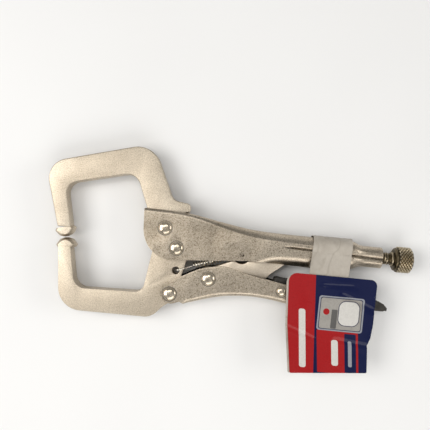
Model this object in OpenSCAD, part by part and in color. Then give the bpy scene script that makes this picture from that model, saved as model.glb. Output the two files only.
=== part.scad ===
// Locking C-clamp pliers lying flat.
// X runs from the jaws to the adjusting knob, Y from the lower handle to the upper one,
// Z up from the flat back ends of the rivets. The origin is on the axis of the jaw pivot.

/* [Jaws] */
// Distance from the jaw pivot forward to the clamping tips
tip_reach = 53.2; // [42:0.1:66]
// Thickness of the jaw forgings
jaw_t = 7.6; // [6:0.1:9.5]
// Height of the upper jaw's back above the pivot, at its rear corner
upper_rise = 48.3; // [40:0.1:58]
// Depth of the lower jaw's back below the pivot
lower_drop = 33.8; // [31:0.1:42]
// Radius of a clamping tip at its widest
tip_r = 5.05; // [4.2:0.05:6]
// Gap between the closed tips
tip_gap = 0.5; // [0.3:0.05:1.5]

/* [Handles] */
// Distance from the jaw pivot back to the end of the threaded nose
nose_end = 97.5; // [90:0.5:118]
// Distance from the jaw pivot back to the end of the lower handle
lower_end = 92; // [85:0.5:112]
// Thickness of the pressed handle sheet
sheet_t = 2; // [1.6:0.05:2.4]
// Side play between a jaw and a handle cheek
side_play = 0.15; // [0.1:0.05:0.3]
// Height of the screw axis above the jaw pivot
axis_y = 4.2; // [3.8:0.1:4.6]

/* [Linkage] */
// Thickness of the toggle link
link_t = 4.8; // [4:0.1:5.6]
// Radius of the link's rounded rear end
link_end_r = 3; // [2.4:0.1:3.4]
// Gap between the link's rear end and the screw at rest, room for the swing
link_gap = 1.8; // [1.8:0.1:4]

/* [Rivets] */
// Shank diameter of the main rivets
rivet_d = 5; // [4.1:0.1:6]
// Head diameter of the main rivets
rivet_head_d = 6.8; // [6.4:0.1:8.2]
// Shank diameter of the release lever rivet
small_rivet_d = 3.5; // [2.9:0.1:4.2]
// Head diameter of the release lever rivet
small_head_d = 5; // [4.6:0.1:6]
// Height of the rivet heads above the cheeks
rivet_head_h = 1.2; // [1:0.05:1.6]
// Radial clearance of a turning rivet in its hole
pivot_clear = 0.05; // [0.03:0.01:0.09]

/* [Adjusting screw] */
// Outer diameter of the screw thread
screw_d = 6; // [5:0.1:7.2]
// Thread pitch
screw_pitch = 1; // [0.8:0.05:1.2]
// Wall of the round nose that holds the screw
nose_wall = 2; // [1.5:0.1:2.4]
// Diameter of the knob
knob_d = 12.4; // [11:0.1:13.4]
// Length of the knob
knob_len = 8.6; // [7:0.1:11]

/* [Spring] */
// Diameter of the spring wire
wire_d = 0.6; // [0.5:0.05:0.75]
// Outer diameter of the spring
spring_d = 3.3; // [2.8:0.1:4]

/* [Tag] */
// Width of the paper loop round the upper handle
loop_w = 18.5; // [14:0.5:22]
// Thickness of the tag's paper
paper_t = 0.35; // [0.25:0.05:0.5]

/* [Hidden] */
$fn = 48;

inner_w = jaw_t + 2 * side_play;
outer_w = inner_w + 2 * sheet_t;
mid_z = outer_w / 2 + rivet_head_h;
rear_shift = nose_end - 97.5;
lower_shift = lower_end - 92;

// Pivots in the plane of the pliers
jaw_pivot = [0, 0];
upper_rivet = [-6.2, 9];
handle_pivot = [-1.3, -21.7];
link_pivot = [16.2, -13];
lever_pivot = [51, -15.6];
link_end = [57, axis_y];
spring_anchor = [30.9, -0.2];
spring_eye = [0.5, -10.6];

jaw_hub_r = 6;
jaw_hub_gap = 0.4;
tip_y = 0.2;
upper_tilt = 14;
lower_tilt = 5.5;
tip_len = 4.6;
tip_flat_inset = 0.25;
link_hub_r = 5.4;
link_notch_gap = 2.8;
anchor_d = 2.2;
screw_tip_x = link_end[0] + link_end_r + link_gap;
tube_end = nose_end - 9.5;
collar_x = nose_end + 3.6;
collar_len = 2.4;
collar_d = 7.2;
spigot_d = 4.4;
face_gap = 0.1;

function turn(p, a) = [p[0] * cos(a) - p[1] * sin(a), p[0] * sin(a) + p[1] * cos(a)];
function unit(v) = v / norm(v);
function xy(p) = [p[0], p[1]];

// Arc that rounds corner b, whose third value is its radius, between its neighbours a and c
function corner(a, b, c, step = 15) =
    b[2] == undef || b[2] == 0 ? [xy(b)] :
    let(u = unit(xy(a) - xy(b)), w = unit(xy(c) - xy(b)), half = acos(u * w) / 2,
        centre = xy(b) + unit(u + w) * b[2] / sin(half), start = xy(b) + u * b[2] / tan(half) - centre,
        side = u[0] * w[1] - u[1] * w[0] > 0 ? -1 : 1, sweep = 180 - 2 * half,
        n = max(2, ceil(sweep / step)))
    [for (i = [0:n]) centre + turn(start, side * sweep * i / n)];

// Closed outline with every corner rounded by its own radius
function rounded(p) = [for (i = [0:len(p) - 1])
    each corner(p[(i + len(p) - 1) % len(p)], p[i], p[(i + 1) % len(p)])];

// Smooth curve through the points of a table, read at x
function slope(t, i) = let(a = max(i - 1, 0), b = min(i + 1, len(t) - 1))
    (t[b][1] - t[a][1]) / (t[b][0] - t[a][0]);
function span(t, x, i = 0) = i >= len(t) - 2 || x < t[i + 1][0] ? i : span(t, x, i + 1);
function curve(t, x) =
    let(i = span(t, x), h = t[i + 1][0] - t[i][0], s = max(0, min(1, (x - t[i][0]) / h)))
    t[i][1] * (1 + 2 * s) * (1 - s) * (1 - s) + t[i + 1][1] * s * s * (3 - 2 * s)
    + h * slope(t, i) * s * (1 - s) * (1 - s) - h * slope(t, i + 1) * s * s * (1 - s);

// Skin over rings of points, closed at both ends. A ring of folded sheet runs out along one face
// and back along the other, so its ends are closed by a strip of quads.
module skin(rings, sheet = false) {
    n = len(rings[0]);
    m = len(rings);
    last = (m - 1) * n;
    side = [for (i = [0:m - 2], j = [0:n - 1])
        [i * n + j, i * n + (j + 1) % n, (i + 1) * n + (j + 1) % n, (i + 1) * n + j]];
    caps = sheet ? [for (j = [0:n / 2 - 2]) each [[n - 1 - j, n - 2 - j, j + 1, j],
        [last + j, last + j + 1, last + n - 2 - j, last + n - 1 - j]]] :
        [[for (j = [n - 1:-1:0]) j], [for (j = [0:n - 1]) last + j]];
    polyhedron(points = [for (r = rings) each r], faces = concat(side, caps), convexity = 8);
}

// Plate of an outline, centred on the mid-plane of the pliers
module plate(t) {
    translate([0, 0, mid_z - t / 2]) linear_extrude(t) children();
}

module pin_hole(p, d) {
    translate([p[0], p[1], -1]) cylinder(d = d, h = 2 * mid_z + 2);
}

module turning_hole(p, d) {
    pin_hole(p, d + 2 * pivot_clear);
}

// Profile of a clamping tip: radius against height above the end of the arm
module tip_profile(h) {
    polygon(rounded([[0, 0, 0], [tip_r - 0.7, 0, 0], [tip_r + 0.1, 0.25 * h, 0.8],
        [tip_r - 1.7, 0.82 * h, 1.6], [0.8, h, 0], [0, h, 0]]));
}

// Clamping tip whose end is at p and whose axis leans by tilt, cut flat front and back
module tip(p, tilt, up) {
    intersection() {
        translate([p[0], p[1], mid_z]) rotate([0, 0, tilt]) rotate([up ? -90 : 90, 0, 0])
            translate([0, 0, -tip_len]) rotate_extrude() tip_profile(tip_len);
        plate(jaw_t - 2 * tip_flat_inset) translate([p[0], p[1]]) square(4 * tip_r, center = true);
    }
}

module upper_jaw() {
    rise = upper_rise - 48.3;
    reach = -tip_reach;
    top = [reach - 12.7, 34.75 + rise];
    color("antiquewhite") {
        difference() {
            plate(jaw_t) difference() {
                polygon(rounded([[reach - 4.1, 5.4, 0], [top[0], top[1], 9.5], [-15.7, 48.3 + rise, 11],
                    [-3.9, 22.4, 5], [4.7, 21.3, 2], [4.7, 17.2, 1.2], [3, 17.15, 0],
                    [2.6, 16.6, 0], [2.6, 3.6, 2], [-13.4, 3.6, 2], [-15.9, 18, 8], [-22.3, 33.8 + rise, 6.5],
                    [reach - 2.2, 25.6 + rise, 5.5], [reach + 2.1, 5.6, 0]]));
                circle(r = jaw_hub_r + jaw_hub_gap);
            }
            pin_hole(upper_rivet, rivet_d);
        }
        tip([reach, tip_y + tip_gap / 2], upper_tilt, false);
    }
}

module lower_jaw() {
    reach = -tip_reach;
    back = -lower_drop;
    color("antiquewhite") {
        difference() {
            plate(jaw_t) {
                polygon(rounded([[reach - 2.9, -4.2, 0], [reach - 0.1, back, 11], [-9.1, back, 8],
                    [-4.5, -28.5, 0], [4.2, -22, 4], [3.3, -13.4, 0], [4.3, -3, 0], [-4, 2, 0],
                    [-11.2, -2, 2], [-14.4, back + 11.4, 4.5], [reach + 6.4, back + 10.5, 6],
                    [reach + 2.8, -4.4, 0]]));
                circle(r = jaw_hub_r);
                translate(handle_pivot) circle(r = rivet_d / 2 + 2.9);
            }
            turning_hole(jaw_pivot, rivet_d);
            turning_hole(handle_pivot, rivet_d);
            pin_hole(spring_eye, 3.6);
        }
        tip([reach, tip_y - tip_gap / 2], lower_tilt, true);
    }
}

// Upper handle: top and bottom lines, half width, and how far the lower edges curl in
shoulder_r = screw_d / 2 + nose_wall + 0.4;
shoulder_x = tube_end - 0.5;
function top_line(x) = curve([[-20, 17.9], [3, 17], [22, 13.8], [34, 12], [46, 11.3], [60, 11.1],
    [tube_end - 4, 10.8], [shoulder_x, axis_y + shoulder_r]], x);
function bottom_line(x) = curve([[-4, -6.1], [35, -2.6], [60, -2.7], [70, -3.1],
    [tube_end - 4, -3], [shoulder_x, axis_y - shoulder_r]], x);
function half_w(x) = curve([[-20, outer_w / 2], [70, outer_w / 2], [tube_end - 4, outer_w / 2],
    [shoulder_x, shoulder_r]], x);
function spine_r(x) = min(half_w(x) - 0.05, curve([[-20, 4.2], [36, 4.2], [60, 5.4], [70, 5.6],
    [tube_end, 5.6]], x));
function curl_r(x) = min(half_w(x) - 0.05, curve([[-20, 4.4], [60, 4.4], [70, 5.2],
    [tube_end, 5.2]], x));
function curl(x) = curve([[-20, 0], [35, 0], [46, 48], [58, 64], [63, 66], [70, 90], [tube_end, 90]], x);
seam_half = 0.2;
function lip(x) = x > 68 ? max(0.02, half_w(x) - curl_r(x) - seam_half) :
    curve([[-20, 4], [35, 4], [46, 0.6], [68, 0.5]], x);

// Point of the lower edge at distance s along it, first round the curl and then straight on
function lip_point(s, q, a, inset) = let(b = min(a, s / q * 180 / PI), on = s - b * PI / 180 * q)
    [-(q - inset) * sin(b) - on * cos(b), (q - inset) * cos(b) - on * sin(b)];

// Half of one section of the bent sheet, from the crown to the lower lip, off by the inset
function half_section(x, inset) =
    let(w = half_w(x), r = spine_r(x), q = curl_r(x), a = curl(x), yt = top_line(x),
        yb = bottom_line(x) + q * sin(a), total = q * a * PI / 180 + lip(x))
    concat([for (i = [0:5]) [yt - r + (r - inset) * cos(18 * i), w - r + (r - inset) * sin(18 * i)]],
        [for (i = [0:5]) [yb, w - q] + lip_point(total * i / 5, q, a, inset)]);

function sheet_ring(x) =
    let(out = half_section(x, 0), inn = half_section(x, sheet_t), n = len(out))
    [for (p = concat([for (i = [n - 1:-1:0]) [out[i][0], out[i][1]]], [for (p = out) [p[0], -p[1]]],
        [for (i = [n - 1:-1:0]) [inn[i][0], -inn[i][1]]], inn)) [x, p[0], mid_z + p[1]]];

module upper_handle() {
    stations = concat([-19, -8, 3, 12, 22, 31], [for (x = [38:5:tube_end - 8]) x],
        [tube_end - 4, tube_end - 2, shoulder_x]);
    color("silver") difference() {
        union() {
            intersection() {
                skin([for (x = stations) sheet_ring(x)], sheet = true);
                translate([0, 0, -1]) linear_extrude(2 * mid_z + 2) polygon(rounded([[-16.7, 17.7, 1],
                    [-15.5, -6.9, 14], [35, -2.7, 0], [64, -3.6, 0], [tube_end + 5, -4.4, 0],
                    [tube_end + 5, 20, 0], [-10, 20, 0]]));
            }
            translate([tube_end - 2.5, axis_y, mid_z]) rotate([0, 90, 0]) rotate_extrude()
                polygon([[screw_d / 2, 0], [screw_d / 2 + nose_wall, 0],
                    [screw_d / 2 + nose_wall, nose_end - tube_end + 1.6],
                    [screw_d / 2 + nose_wall - 0.9, nose_end - tube_end + 2.5],
                    [screw_d / 2, nose_end - tube_end + 2.5]]);
        }
        translate([-30, 7, mid_z - jaw_t / 2]) cube([33.2, 20, jaw_t]);
        pin_hole(upper_rivet, rivet_d);
        pin_hole(jaw_pivot, rivet_d);
        pin_hole(spring_anchor, anchor_d);
    }
}

// Lower handle: top edge, bottom line and the channel bent round its lower side
web_start = 6.3;
function lower_bottom(x) = curve([[-10, -27.4], [5.8, -25.6], [13, -23.5], [20, -21.5], [27, -20.2],
    [37, -19.6], [46, -20.2], [54, -21.4], [70 + lower_shift, -23.9], [lower_end, -27.6]], x);
function lower_top(x) = curve([[7, -11], [12, -8.6], [17, -7.3], [22, -6.6], [27, -7.1], [32, -8.5],
    [38, -9.9], [45, -10.9], [53, -12.4], [70 + lower_shift, -15.2], [lower_end, -19.4]], x);
function channel_half(x, inset, r = 3.4) = let(w = outer_w / 2, y = lower_bottom(x))
    concat([[10, w - inset]],
        [for (i = [0:5]) [y + r - (r - inset) * sin(18 * i), w - r + (r - inset) * cos(18 * i)]]);
function channel_ring(x) =
    let(out = channel_half(x, 0), inn = channel_half(x, sheet_t), n = len(out))
    [for (p = concat([for (p = out) [p[0], -p[1]]], [for (i = [n - 1:-1:0]) out[i]], inn,
        [for (i = [n - 1:-1:0]) [inn[i][0], -inn[i][1]]])) [x, p[0], mid_z + p[1]]];

module lower_handle() {
    stations = [for (i = [0:22]) -9 + (lower_end + 11) * i / 22];
    color("silver") difference() {
        intersection() {
            skin([for (x = stations) channel_ring(x)], sheet = true);
            translate([0, 0, -1]) linear_extrude(2 * mid_z + 2) polygon(concat(
                rounded([[lower_end - 4, -40, 0], [5.4, -40, 0], [5.4, -25.7, 0.3], [3.6, -24.9, 1],
                    [-5.9, -28.4, 5.2], [-5.9, -18.3, 3.6], [7, -11, 0]]),
                [for (x = [12:5:lower_end - 5]) [x, lower_top(x)]],
                corner([lower_end - 4, lower_top(lower_end - 4)], [lower_end + 0.4, -19.7, 3.5],
                    [lower_end, -40]), [[lower_end, -40]]));
        }
        translate([-10, -35, mid_z - inner_w / 2]) cube([10 + web_start, 30, inner_w]);
        pin_hole(handle_pivot, rivet_d);
        pin_hole(link_pivot, rivet_d);
        pin_hole(lever_pivot, small_rivet_d);
    }
}

module toggle_link() {
    color("silver") difference() {
        union() {
            plate(link_t) polygon(rounded([[15, -9, 0], [19, -7.1, 0], [27.2, -3.4, 1], [36, -2.8, 0],
                [link_end[0] - 1.2, link_end[1] + link_end_r - 0.4, 0],
                [link_end[0] + 2, link_end[1] - link_end_r + 1, 0], [45.4, -8.4, 3],
                [41.6, -13.4, 1], [27, -16.6, 6], [17, -17.9, 0]]));
            plate(link_t) translate(link_pivot) circle(r = link_hub_r);
            plate(link_t) translate(link_end) circle(r = link_end_r);
        }
        pin_hole(spring_anchor + [0.2, -0.6], 2 * (anchor_d / 2 + link_notch_gap));
        turning_hole(link_pivot, rivet_d);
    }
}

// Release lever: an inverted channel that lies in the lower handle and ends in a thumb pad
function lever_top(x) = curve([[47, -9.2], [54, -10], [70 + lower_shift, -12.6],
    [84 + lower_shift, -14.8], [96.5 + lower_shift, -16.1], [100 + lower_shift, -17.3],
    [102 + lower_shift, -19.2]], x);
lever_t = 1.5;
lever_play = 0.7;

module release_lever() {
    lever_w = inner_w - 2 * lever_play;
    xs = concat([for (i = [0:8]) 54 + (lower_end - 58) * i / 8],
        [for (i = [0:5]) lower_end + 0.5 + 9.5 * i / 5]);
    upper = [for (x = xs) [x, lever_top(x)]];
    under = [for (i = [len(xs) - 1:-1:0]) [xs[i] - lever_t * 0.15, lever_top(xs[i]) - lever_t]];
    flange = [for (i = [7:-1:0]) [xs[i], lever_top(xs[i]) - lever_t - 2.6]];
    pad_rim = [[lower_end + 9.3, -20.3], [lower_end + 8, -20.9], [lower_end + 2.5, -20.9],
        [lower_end - 3, -19.7]];
    color("dimgray") difference() {
        union() {
            plate(lever_w) polygon(concat([[47.6, -9.9], [49, -9.4]], upper, under,
                [[54, -10 - lever_t], [49.6, -9.4 - lever_t], [47.9, -11]]));
            difference() {
                plate(lever_w) polygon(concat([[47.6, -10], [50, -9.6], [54, -10.2]],
                    [for (i = [1:len(xs) - 1]) upper[i] - [0, 0.3]], pad_rim, flange,
                    [[55.4, -17.2], [52.6, -18.1], [49.4, -18.1], [47.6, -16.5]]));
                plate(lever_w - 2 * lever_t) polygon([[40, -30], [40, -6], [110, -6], [110, -30]]);
            }
        }
        turning_hole(lever_pivot, small_rivet_d);
    }
}

// Rivet standing on its flat back end, with a domed front head
module rivet(p, shank_d, head_d) {
    crown = 0.75 * rivet_head_h;
    rim = rivet_head_h - crown;
    top = 2 * mid_z;
    r = head_d / 2;
    dome = [for (i = [0:6]) [r * cos(15 * i), top - crown + crown * sin(15 * i)]];
    translate([p[0], p[1], 0]) rotate_extrude() polygon(concat(
        [[0, 0], [r - 0.35, 0], [r, 0.35], [r, rivet_head_h], [shank_d / 2, rivet_head_h],
            [shank_d / 2, top - rivet_head_h], [r, top - rivet_head_h]],
        [for (q = dome) [max(0, q[0]), q[1]]]));
}

module upper_jaw_rivet() {
    color("gainsboro") rivet(upper_rivet, rivet_d, rivet_head_d);
}

module jaw_pivot_rivet() {
    color("gainsboro") rivet(jaw_pivot, rivet_d, rivet_head_d);
}

module handle_pivot_rivet() {
    color("gainsboro") rivet(handle_pivot, rivet_d, rivet_head_d);
}

module link_pivot_rivet() {
    color("gainsboro") rivet(link_pivot, rivet_d, rivet_head_d);
}

module release_lever_rivet() {
    color("gainsboro") rivet(lever_pivot, small_rivet_d, small_head_d);
}

module spring_anchor_pin() {
    color("gainsboro") translate([spring_anchor[0], spring_anchor[1], mid_z])
        cylinder(d = anchor_d, h = outer_w, center = true);
}

// Tension spring: coils on a straight axis, a leg that hooks through the jaw and an eye on the pin
module jaw_spring() {
    away = spring_anchor - spring_eye;
    lean = atan2(away[1], away[0]);
    total = norm(away);
    coil_r = (spring_d - wire_d) / 2;
    face = jaw_t / 2 + 0.7 * wire_d;
    first = 0.27 * total;
    last = total - 3.5;
    turns = 22;
    per_turn = 10;
    eye_r = (anchor_d + wire_d) / 2 + 0.05;
    coil = [for (i = [0:turns * per_turn]) [first + (last - first) * i / (turns * per_turn),
        coil_r * sin(360 * i / per_turn), coil_r * cos(360 * i / per_turn)]];
    eye = [for (a = [115:-30:-125]) [total + eye_r * cos(a), eye_r * sin(a), 0]];
    path = concat([[0.4, 0, -1.5], [0.4, 0, face - 0.7], [0.6, 0, face - 0.15], [1.1, 0, face],
        [4.4, 0, face], [first - 0.9, 0, coil_r]], coil, eye);
    n = len(path);
    function ring(i) = let(d = unit(path[min(i + 1, n - 1)] - path[max(i - 1, 0)]),
        s = unit(cross(d, i < 6 ? [0, -1, 0] : i < n - len(eye) ? [1, 0, 0] : [0, 0, 1])),
        t = cross(s, d)) [for (k = [0:4]) path[i] + wire_d / 2 * (s * cos(72 * k) + t * sin(72 * k))];
    color("lightgray") translate([spring_eye[0], spring_eye[1], mid_z]) rotate([0, 0, lean])
        skin([for (i = [0:n - 1]) ring(i)]);
}

// Adjusting screw, with ring grooves for the thread, a collar and a spigot for the knob
module adjusting_screw() {
    r = screw_d / 2 - pivot_clear;
    depth = 0.5 * screw_pitch;
    len_thread = collar_x - screw_tip_x;
    turns = floor((len_thread - 2) / screw_pitch);
    color("darkkhaki") translate([screw_tip_x, axis_y, mid_z]) rotate([0, 90, 0]) rotate_extrude()
        polygon(concat([[0, 0], [r - 1, 0], [r, 1]],
            [for (i = [0:turns - 1], k = [0:1]) [r - k * depth, 1 + (i + 0.25 + 0.5 * k) * screw_pitch]],
            [[r, 1 + turns * screw_pitch], [r, len_thread], [collar_d / 2, len_thread],
                [collar_d / 2, len_thread + collar_len], [spigot_d / 2, len_thread + collar_len],
                [spigot_d / 2, len_thread + collar_len + knob_len - 1.6],
                [0, len_thread + collar_len + knob_len - 1.6]]));
}

module adjusting_knob() {
    r = knob_d / 2;
    bore_r = spigot_d / 2 + pivot_clear;
    rim = 0.9;
    color("darkkhaki") translate([collar_x + collar_len + face_gap, axis_y, mid_z]) rotate([0, 90, 0])
        rotate_extrude() polygon([[bore_r, 0], [r - rim, 0], [r, rim], [r, knob_len - rim],
            [r - rim, knob_len], [0, knob_len], [0, knob_len - 1.5], [bore_r, knob_len - 1.5]]);
}

// Tag: a paper loop round the upper handle that hangs down in front as a card of two leaves
loop_x = 63.5 + 0.5 * rear_shift;
loop_play = 0.25;
card_z = mid_z + outer_w / 2 + 2;
card_top = -6;

module tag_loop() {
    w = outer_w / 2 + loop_play;
    low = bottom_line(loop_x + loop_w) - loop_play - 0.15;
    high = top_line(loop_x) + loop_play + 0.4;
    fold = card_z - mid_z;
    color("linen") translate([loop_x, 0, mid_z]) rotate([90, 0, 90]) union() {
        linear_extrude(loop_w) difference() {
            polygon(rounded([[low - paper_t, -w - paper_t, 5], [low - paper_t, w + paper_t, 5],
                [high + paper_t, w + paper_t, 5.6], [high + paper_t, -w - paper_t, 5.6]]));
            polygon(rounded([[low, -w, 4.65], [low, w, 4.65], [high, w, 5.25], [high, -w, 5.25]]));
        }
        linear_extrude(loop_w)
            polygon([[4, w], [4, w + paper_t], [card_top, fold + paper_t], [card_top, fold]]);
    }
}

module card_outline(inset) {
    x = loop_x;
    polygon(rounded([[x - 10 + inset, card_top, 4], [x + 30.9 - inset, card_top, 3],
        [x + 30.4 - inset, -29, 20], [x + 28.7 - inset, -35, 20], [x + 29.7 - inset, -49.6, 0.8],
        [x - 5.4 + inset, -52.8, 0.8], [x - 8.6 + inset, -30, 30]]));
}

module tag_card() {
    color("firebrick") translate([0, 0, card_z]) linear_extrude(paper_t) card_outline(0);
}

module tag_backing() {
    color("linen") translate([0, 0, card_z - paper_t]) linear_extrude(paper_t) intersection() {
        translate([-0.8, 0]) card_outline(0);
        translate([loop_x - 20, -60]) square([60, 60 + card_top - 0.5]);
    }
}

upper_handle();
upper_jaw();
lower_jaw();
lower_handle();
toggle_link();
release_lever();
jaw_spring();
spring_anchor_pin();
adjusting_screw();
adjusting_knob();
upper_jaw_rivet();
jaw_pivot_rivet();
handle_pivot_rivet();
link_pivot_rivet();
release_lever_rivet();
tag_loop();
tag_card();
tag_backing();
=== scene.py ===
import bpy
import bmesh
import math
from mathutils import Matrix, Vector


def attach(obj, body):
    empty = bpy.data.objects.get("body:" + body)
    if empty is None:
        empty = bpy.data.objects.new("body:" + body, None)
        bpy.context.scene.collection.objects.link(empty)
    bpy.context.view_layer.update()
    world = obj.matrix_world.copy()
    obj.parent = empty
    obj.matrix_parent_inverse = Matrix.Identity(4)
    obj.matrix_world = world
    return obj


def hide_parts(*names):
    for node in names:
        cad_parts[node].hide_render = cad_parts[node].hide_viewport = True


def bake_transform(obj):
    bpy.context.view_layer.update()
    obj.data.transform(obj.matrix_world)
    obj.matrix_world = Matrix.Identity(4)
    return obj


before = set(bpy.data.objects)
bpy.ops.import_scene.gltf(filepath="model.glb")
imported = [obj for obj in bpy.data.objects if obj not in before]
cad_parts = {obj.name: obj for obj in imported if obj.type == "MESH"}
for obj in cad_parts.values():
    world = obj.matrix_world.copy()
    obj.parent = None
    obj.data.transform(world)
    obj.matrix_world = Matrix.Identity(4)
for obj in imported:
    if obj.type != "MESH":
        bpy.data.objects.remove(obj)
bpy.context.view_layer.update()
print("frame loaded")

mm = 0.001
midZ = 7.15  # middle plane of the pliers
outerHalf = 5.95  # half the width over the handle cheeks
sheet = 1.98  # thickness of the pressed sheet
screwY = 4.2  # height of the screw axis
noseEnd = 97.5  # end of the threaded nose


# the shape helpers work in millimetres
def unitXY(v):
    d = math.hypot(v[0], v[1])
    return (v[0] / d, v[1] / d)


def roundCorner(a, b, c, step):  # arc at corner b, whose third value is its radius
    r = b[2] if len(b) > 2 else 0
    if r == 0:
        return [(b[0], b[1])]
    u = unitXY((a[0] - b[0], a[1] - b[1]))
    w = unitXY((c[0] - b[0], c[1] - b[1]))
    half = math.acos(max(-1, min(1, u[0] * w[0] + u[1] * w[1]))) / 2
    m = unitXY((u[0] + w[0], u[1] + w[1]))
    centre = (b[0] + m[0] * r / math.sin(half), b[1] + m[1] * r / math.sin(half))
    start = (b[0] + u[0] * r / math.tan(half) - centre[0], b[1] + u[1] * r / math.tan(half) - centre[1])
    side = -1 if u[0] * w[1] - u[1] * w[0] > 0 else 1
    sweep = math.pi - 2 * half
    n = max(2, math.ceil(math.degrees(sweep) / step))
    points = []
    for i in range(n + 1):
        t = side * sweep * i / n
        points.append((centre[0] + start[0] * math.cos(t) - start[1] * math.sin(t),
                       centre[1] + start[0] * math.sin(t) + start[1] * math.cos(t)))
    return points


def roundOutline(corners, step=6):
    n = len(corners)
    points = []
    for i in range(n):
        points += roundCorner(corners[i - 1], corners[i], corners[(i + 1) % n], step)
    return points


def smoothCurve(table, x):  # height at x of a smooth curve through the points of a table
    def slope(i):
        a, b = max(i - 1, 0), min(i + 1, len(table) - 1)
        return (table[b][1] - table[a][1]) / (table[b][0] - table[a][0])
    i = 0
    while i < len(table) - 2 and x >= table[i + 1][0]:
        i += 1
    h = table[i + 1][0] - table[i][0]
    s = max(0, min(1, (x - table[i][0]) / h))
    return (table[i][1] * (1 + 2 * s) * (1 - s) ** 2 + table[i + 1][1] * s * s * (3 - 2 * s)
            + h * slope(i) * s * (1 - s) ** 2 - h * slope(i + 1) * s * s * (1 - s))


def spaced(start, end, count):  # count even steps from start to end, without start itself
    return [start + (end - start) * i / count for i in range(1, count + 1)]


def ease(x, a, b):  # rises smoothly from 0 at a to 1 at b
    t = max(0, min(1, (x - a) / (b - a)))
    return t * t * (3 - 2 * t)


def spanAt(outline, x):  # lowest and highest point of an outline on a vertical line
    hits = []
    for i in range(len(outline)):
        p, q = outline[i - 1], outline[i]
        if (p[0] - x) * (q[0] - x) <= 0 and p[0] != q[0]:
            hits.append(p[1] + (q[1] - p[1]) * (x - p[0]) / (q[0] - p[0]))
    return min(hits), max(hits)


def evenPoints(path, count):  # the same path with evenly spaced points
    lengths = [0]
    for a, b in zip(path, path[1:]):
        lengths.append(lengths[-1] + math.dist(a, b))
    points = []
    k = 0
    for i in range(count):
        want = lengths[-1] * i / (count - 1)
        while k < len(path) - 2 and lengths[k + 1] < want:
            k += 1
        t = (want - lengths[k]) / max(lengths[k + 1] - lengths[k], 1e-9)
        points.append(tuple(p + (q - p) * t for p, q in zip(path[k], path[k + 1])))
    return points


def placeObject(name, data):
    thing = bpy.data.objects.new(name, data)
    bpy.context.scene.collection.objects.link(thing)
    return thing


def meshObject(name, verts, faces):  # points in millimetres, doubles merged, faces outwards
    data = bpy.data.meshes.new(name)
    data.from_pydata([Vector(v) * mm for v in verts], [], faces)
    bm = bmesh.new()
    bm.from_mesh(data)
    bmesh.ops.remove_doubles(bm, verts=bm.verts, dist=0.002 * mm)
    bmesh.ops.recalc_face_normals(bm, faces=bm.faces)
    bm.to_mesh(data)
    bm.free()
    return placeObject(name, data)


def settle(thing):  # modifiers become plain mesh
    depsgraph = bpy.context.evaluated_depsgraph_get()
    data = bpy.data.meshes.new_from_object(thing.evaluated_get(depsgraph))
    thing.modifiers.clear()
    old = thing.data
    thing.data = data
    bpy.data.meshes.remove(old)
    data.name = thing.name


def cut(thing, tool, operation):
    change = thing.modifiers.new("cut", "BOOLEAN")
    change.object = tool
    change.operation = operation
    change.solver = "EXACT"
    settle(thing)
    bpy.data.objects.remove(tool)


def soften(thing, width, segments=3, angle=40):
    change = thing.modifiers.new("edges", "BEVEL")
    change.width = width * mm
    change.segments = segments
    change.limit_method = "ANGLE"
    change.angle_limit = math.radians(angle)
    settle(thing)


def thicken(thing, depth, inward=-1):
    change = thing.modifiers.new("wall", "SOLIDIFY")
    change.thickness = depth * mm
    change.offset = inward
    change.use_even_offset = True
    settle(thing)


def joinInto(thing, others):
    bm = bmesh.new()
    bm.from_mesh(thing.data)
    for other in others:
        bm.from_mesh(other.data)
    bm.to_mesh(thing.data)
    bm.free()
    for other in others:
        bpy.data.objects.remove(other)


def finishPiece(thing, material, body, nodes, sharp=32, inner=None):  # looks, body, nodes
    thing.data.materials.clear()
    thing.data.materials.append(material)
    if inner:
        thing.data.materials.append(inner)
    for face in thing.data.polygons:
        face.use_smooth = True
        z = face.center.z / mm - midZ
        # faces inside a pressing that look towards the mid-plane get the second material, painted shade
        hidden = inner and abs(z) < outerHalf - 0.6 and face.normal.z * z < -0.3 * abs(z)
        face.material_index = 1 if hidden else 0
    thing.data.set_sharp_from_angle(angle=math.radians(sharp))
    if body:
        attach(thing, body)
    if nodes:
        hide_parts(*nodes)


def plateSolid(name, outline, low, high):
    n = len(outline)
    verts = [(p[0], p[1], low) for p in outline] + [(p[0], p[1], high) for p in outline]
    faces = [list(range(n - 1, -1, -1)), list(range(n, 2 * n))]
    faces += [[i, (i + 1) % n, n + (i + 1) % n, n + i] for i in range(n)]
    return meshObject(name, verts, faces)


def gridFaces(rows, columns, closed=False):  # quads between points that are stored row by row
    faces = []
    for j in range(rows - 1):
        for i in range(columns if closed else columns - 1):
            a, b = j * columns + i, j * columns + (i + 1) % columns
            faces.append([a, b, b + columns, a + columns])
    return faces


def faceUp(thing):
    if thing.data.polygons[0].normal.z < 0:
        thing.data.flip_normals()


def latheSolid(name, profile, steps, place):  # profile of (radius, height) turned round its axis
    verts = []
    for r, h in profile:
        for k in range(steps):
            t = 2 * math.pi * k / steps
            verts.append(place(r * math.cos(t), r * math.sin(t), h))
    bottom = list(range(steps - 1, -1, -1))
    top = [(len(profile) - 1) * steps + k for k in range(steps)]
    return meshObject(name, verts, gridFaces(len(profile), steps, True) + [bottom, top])


def rod(name, x, y, radius, low=-5, high=20, steps=40):
    return latheSolid(name, [(radius, low), (radius, high)], steps, lambda a, b, h: (x + a, y + b, h))


def cadCopy(name, node):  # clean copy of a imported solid
    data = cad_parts[node].data.copy()
    bm = bmesh.new()
    bm.from_mesh(data)
    bmesh.ops.remove_doubles(bm, verts=bm.verts, dist=0.001 * mm)
    bmesh.ops.dissolve_limit(bm, angle_limit=math.radians(1), verts=bm.verts, edges=bm.edges)
    bm.to_mesh(data)
    bm.free()
    return placeObject(name, data)


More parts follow.
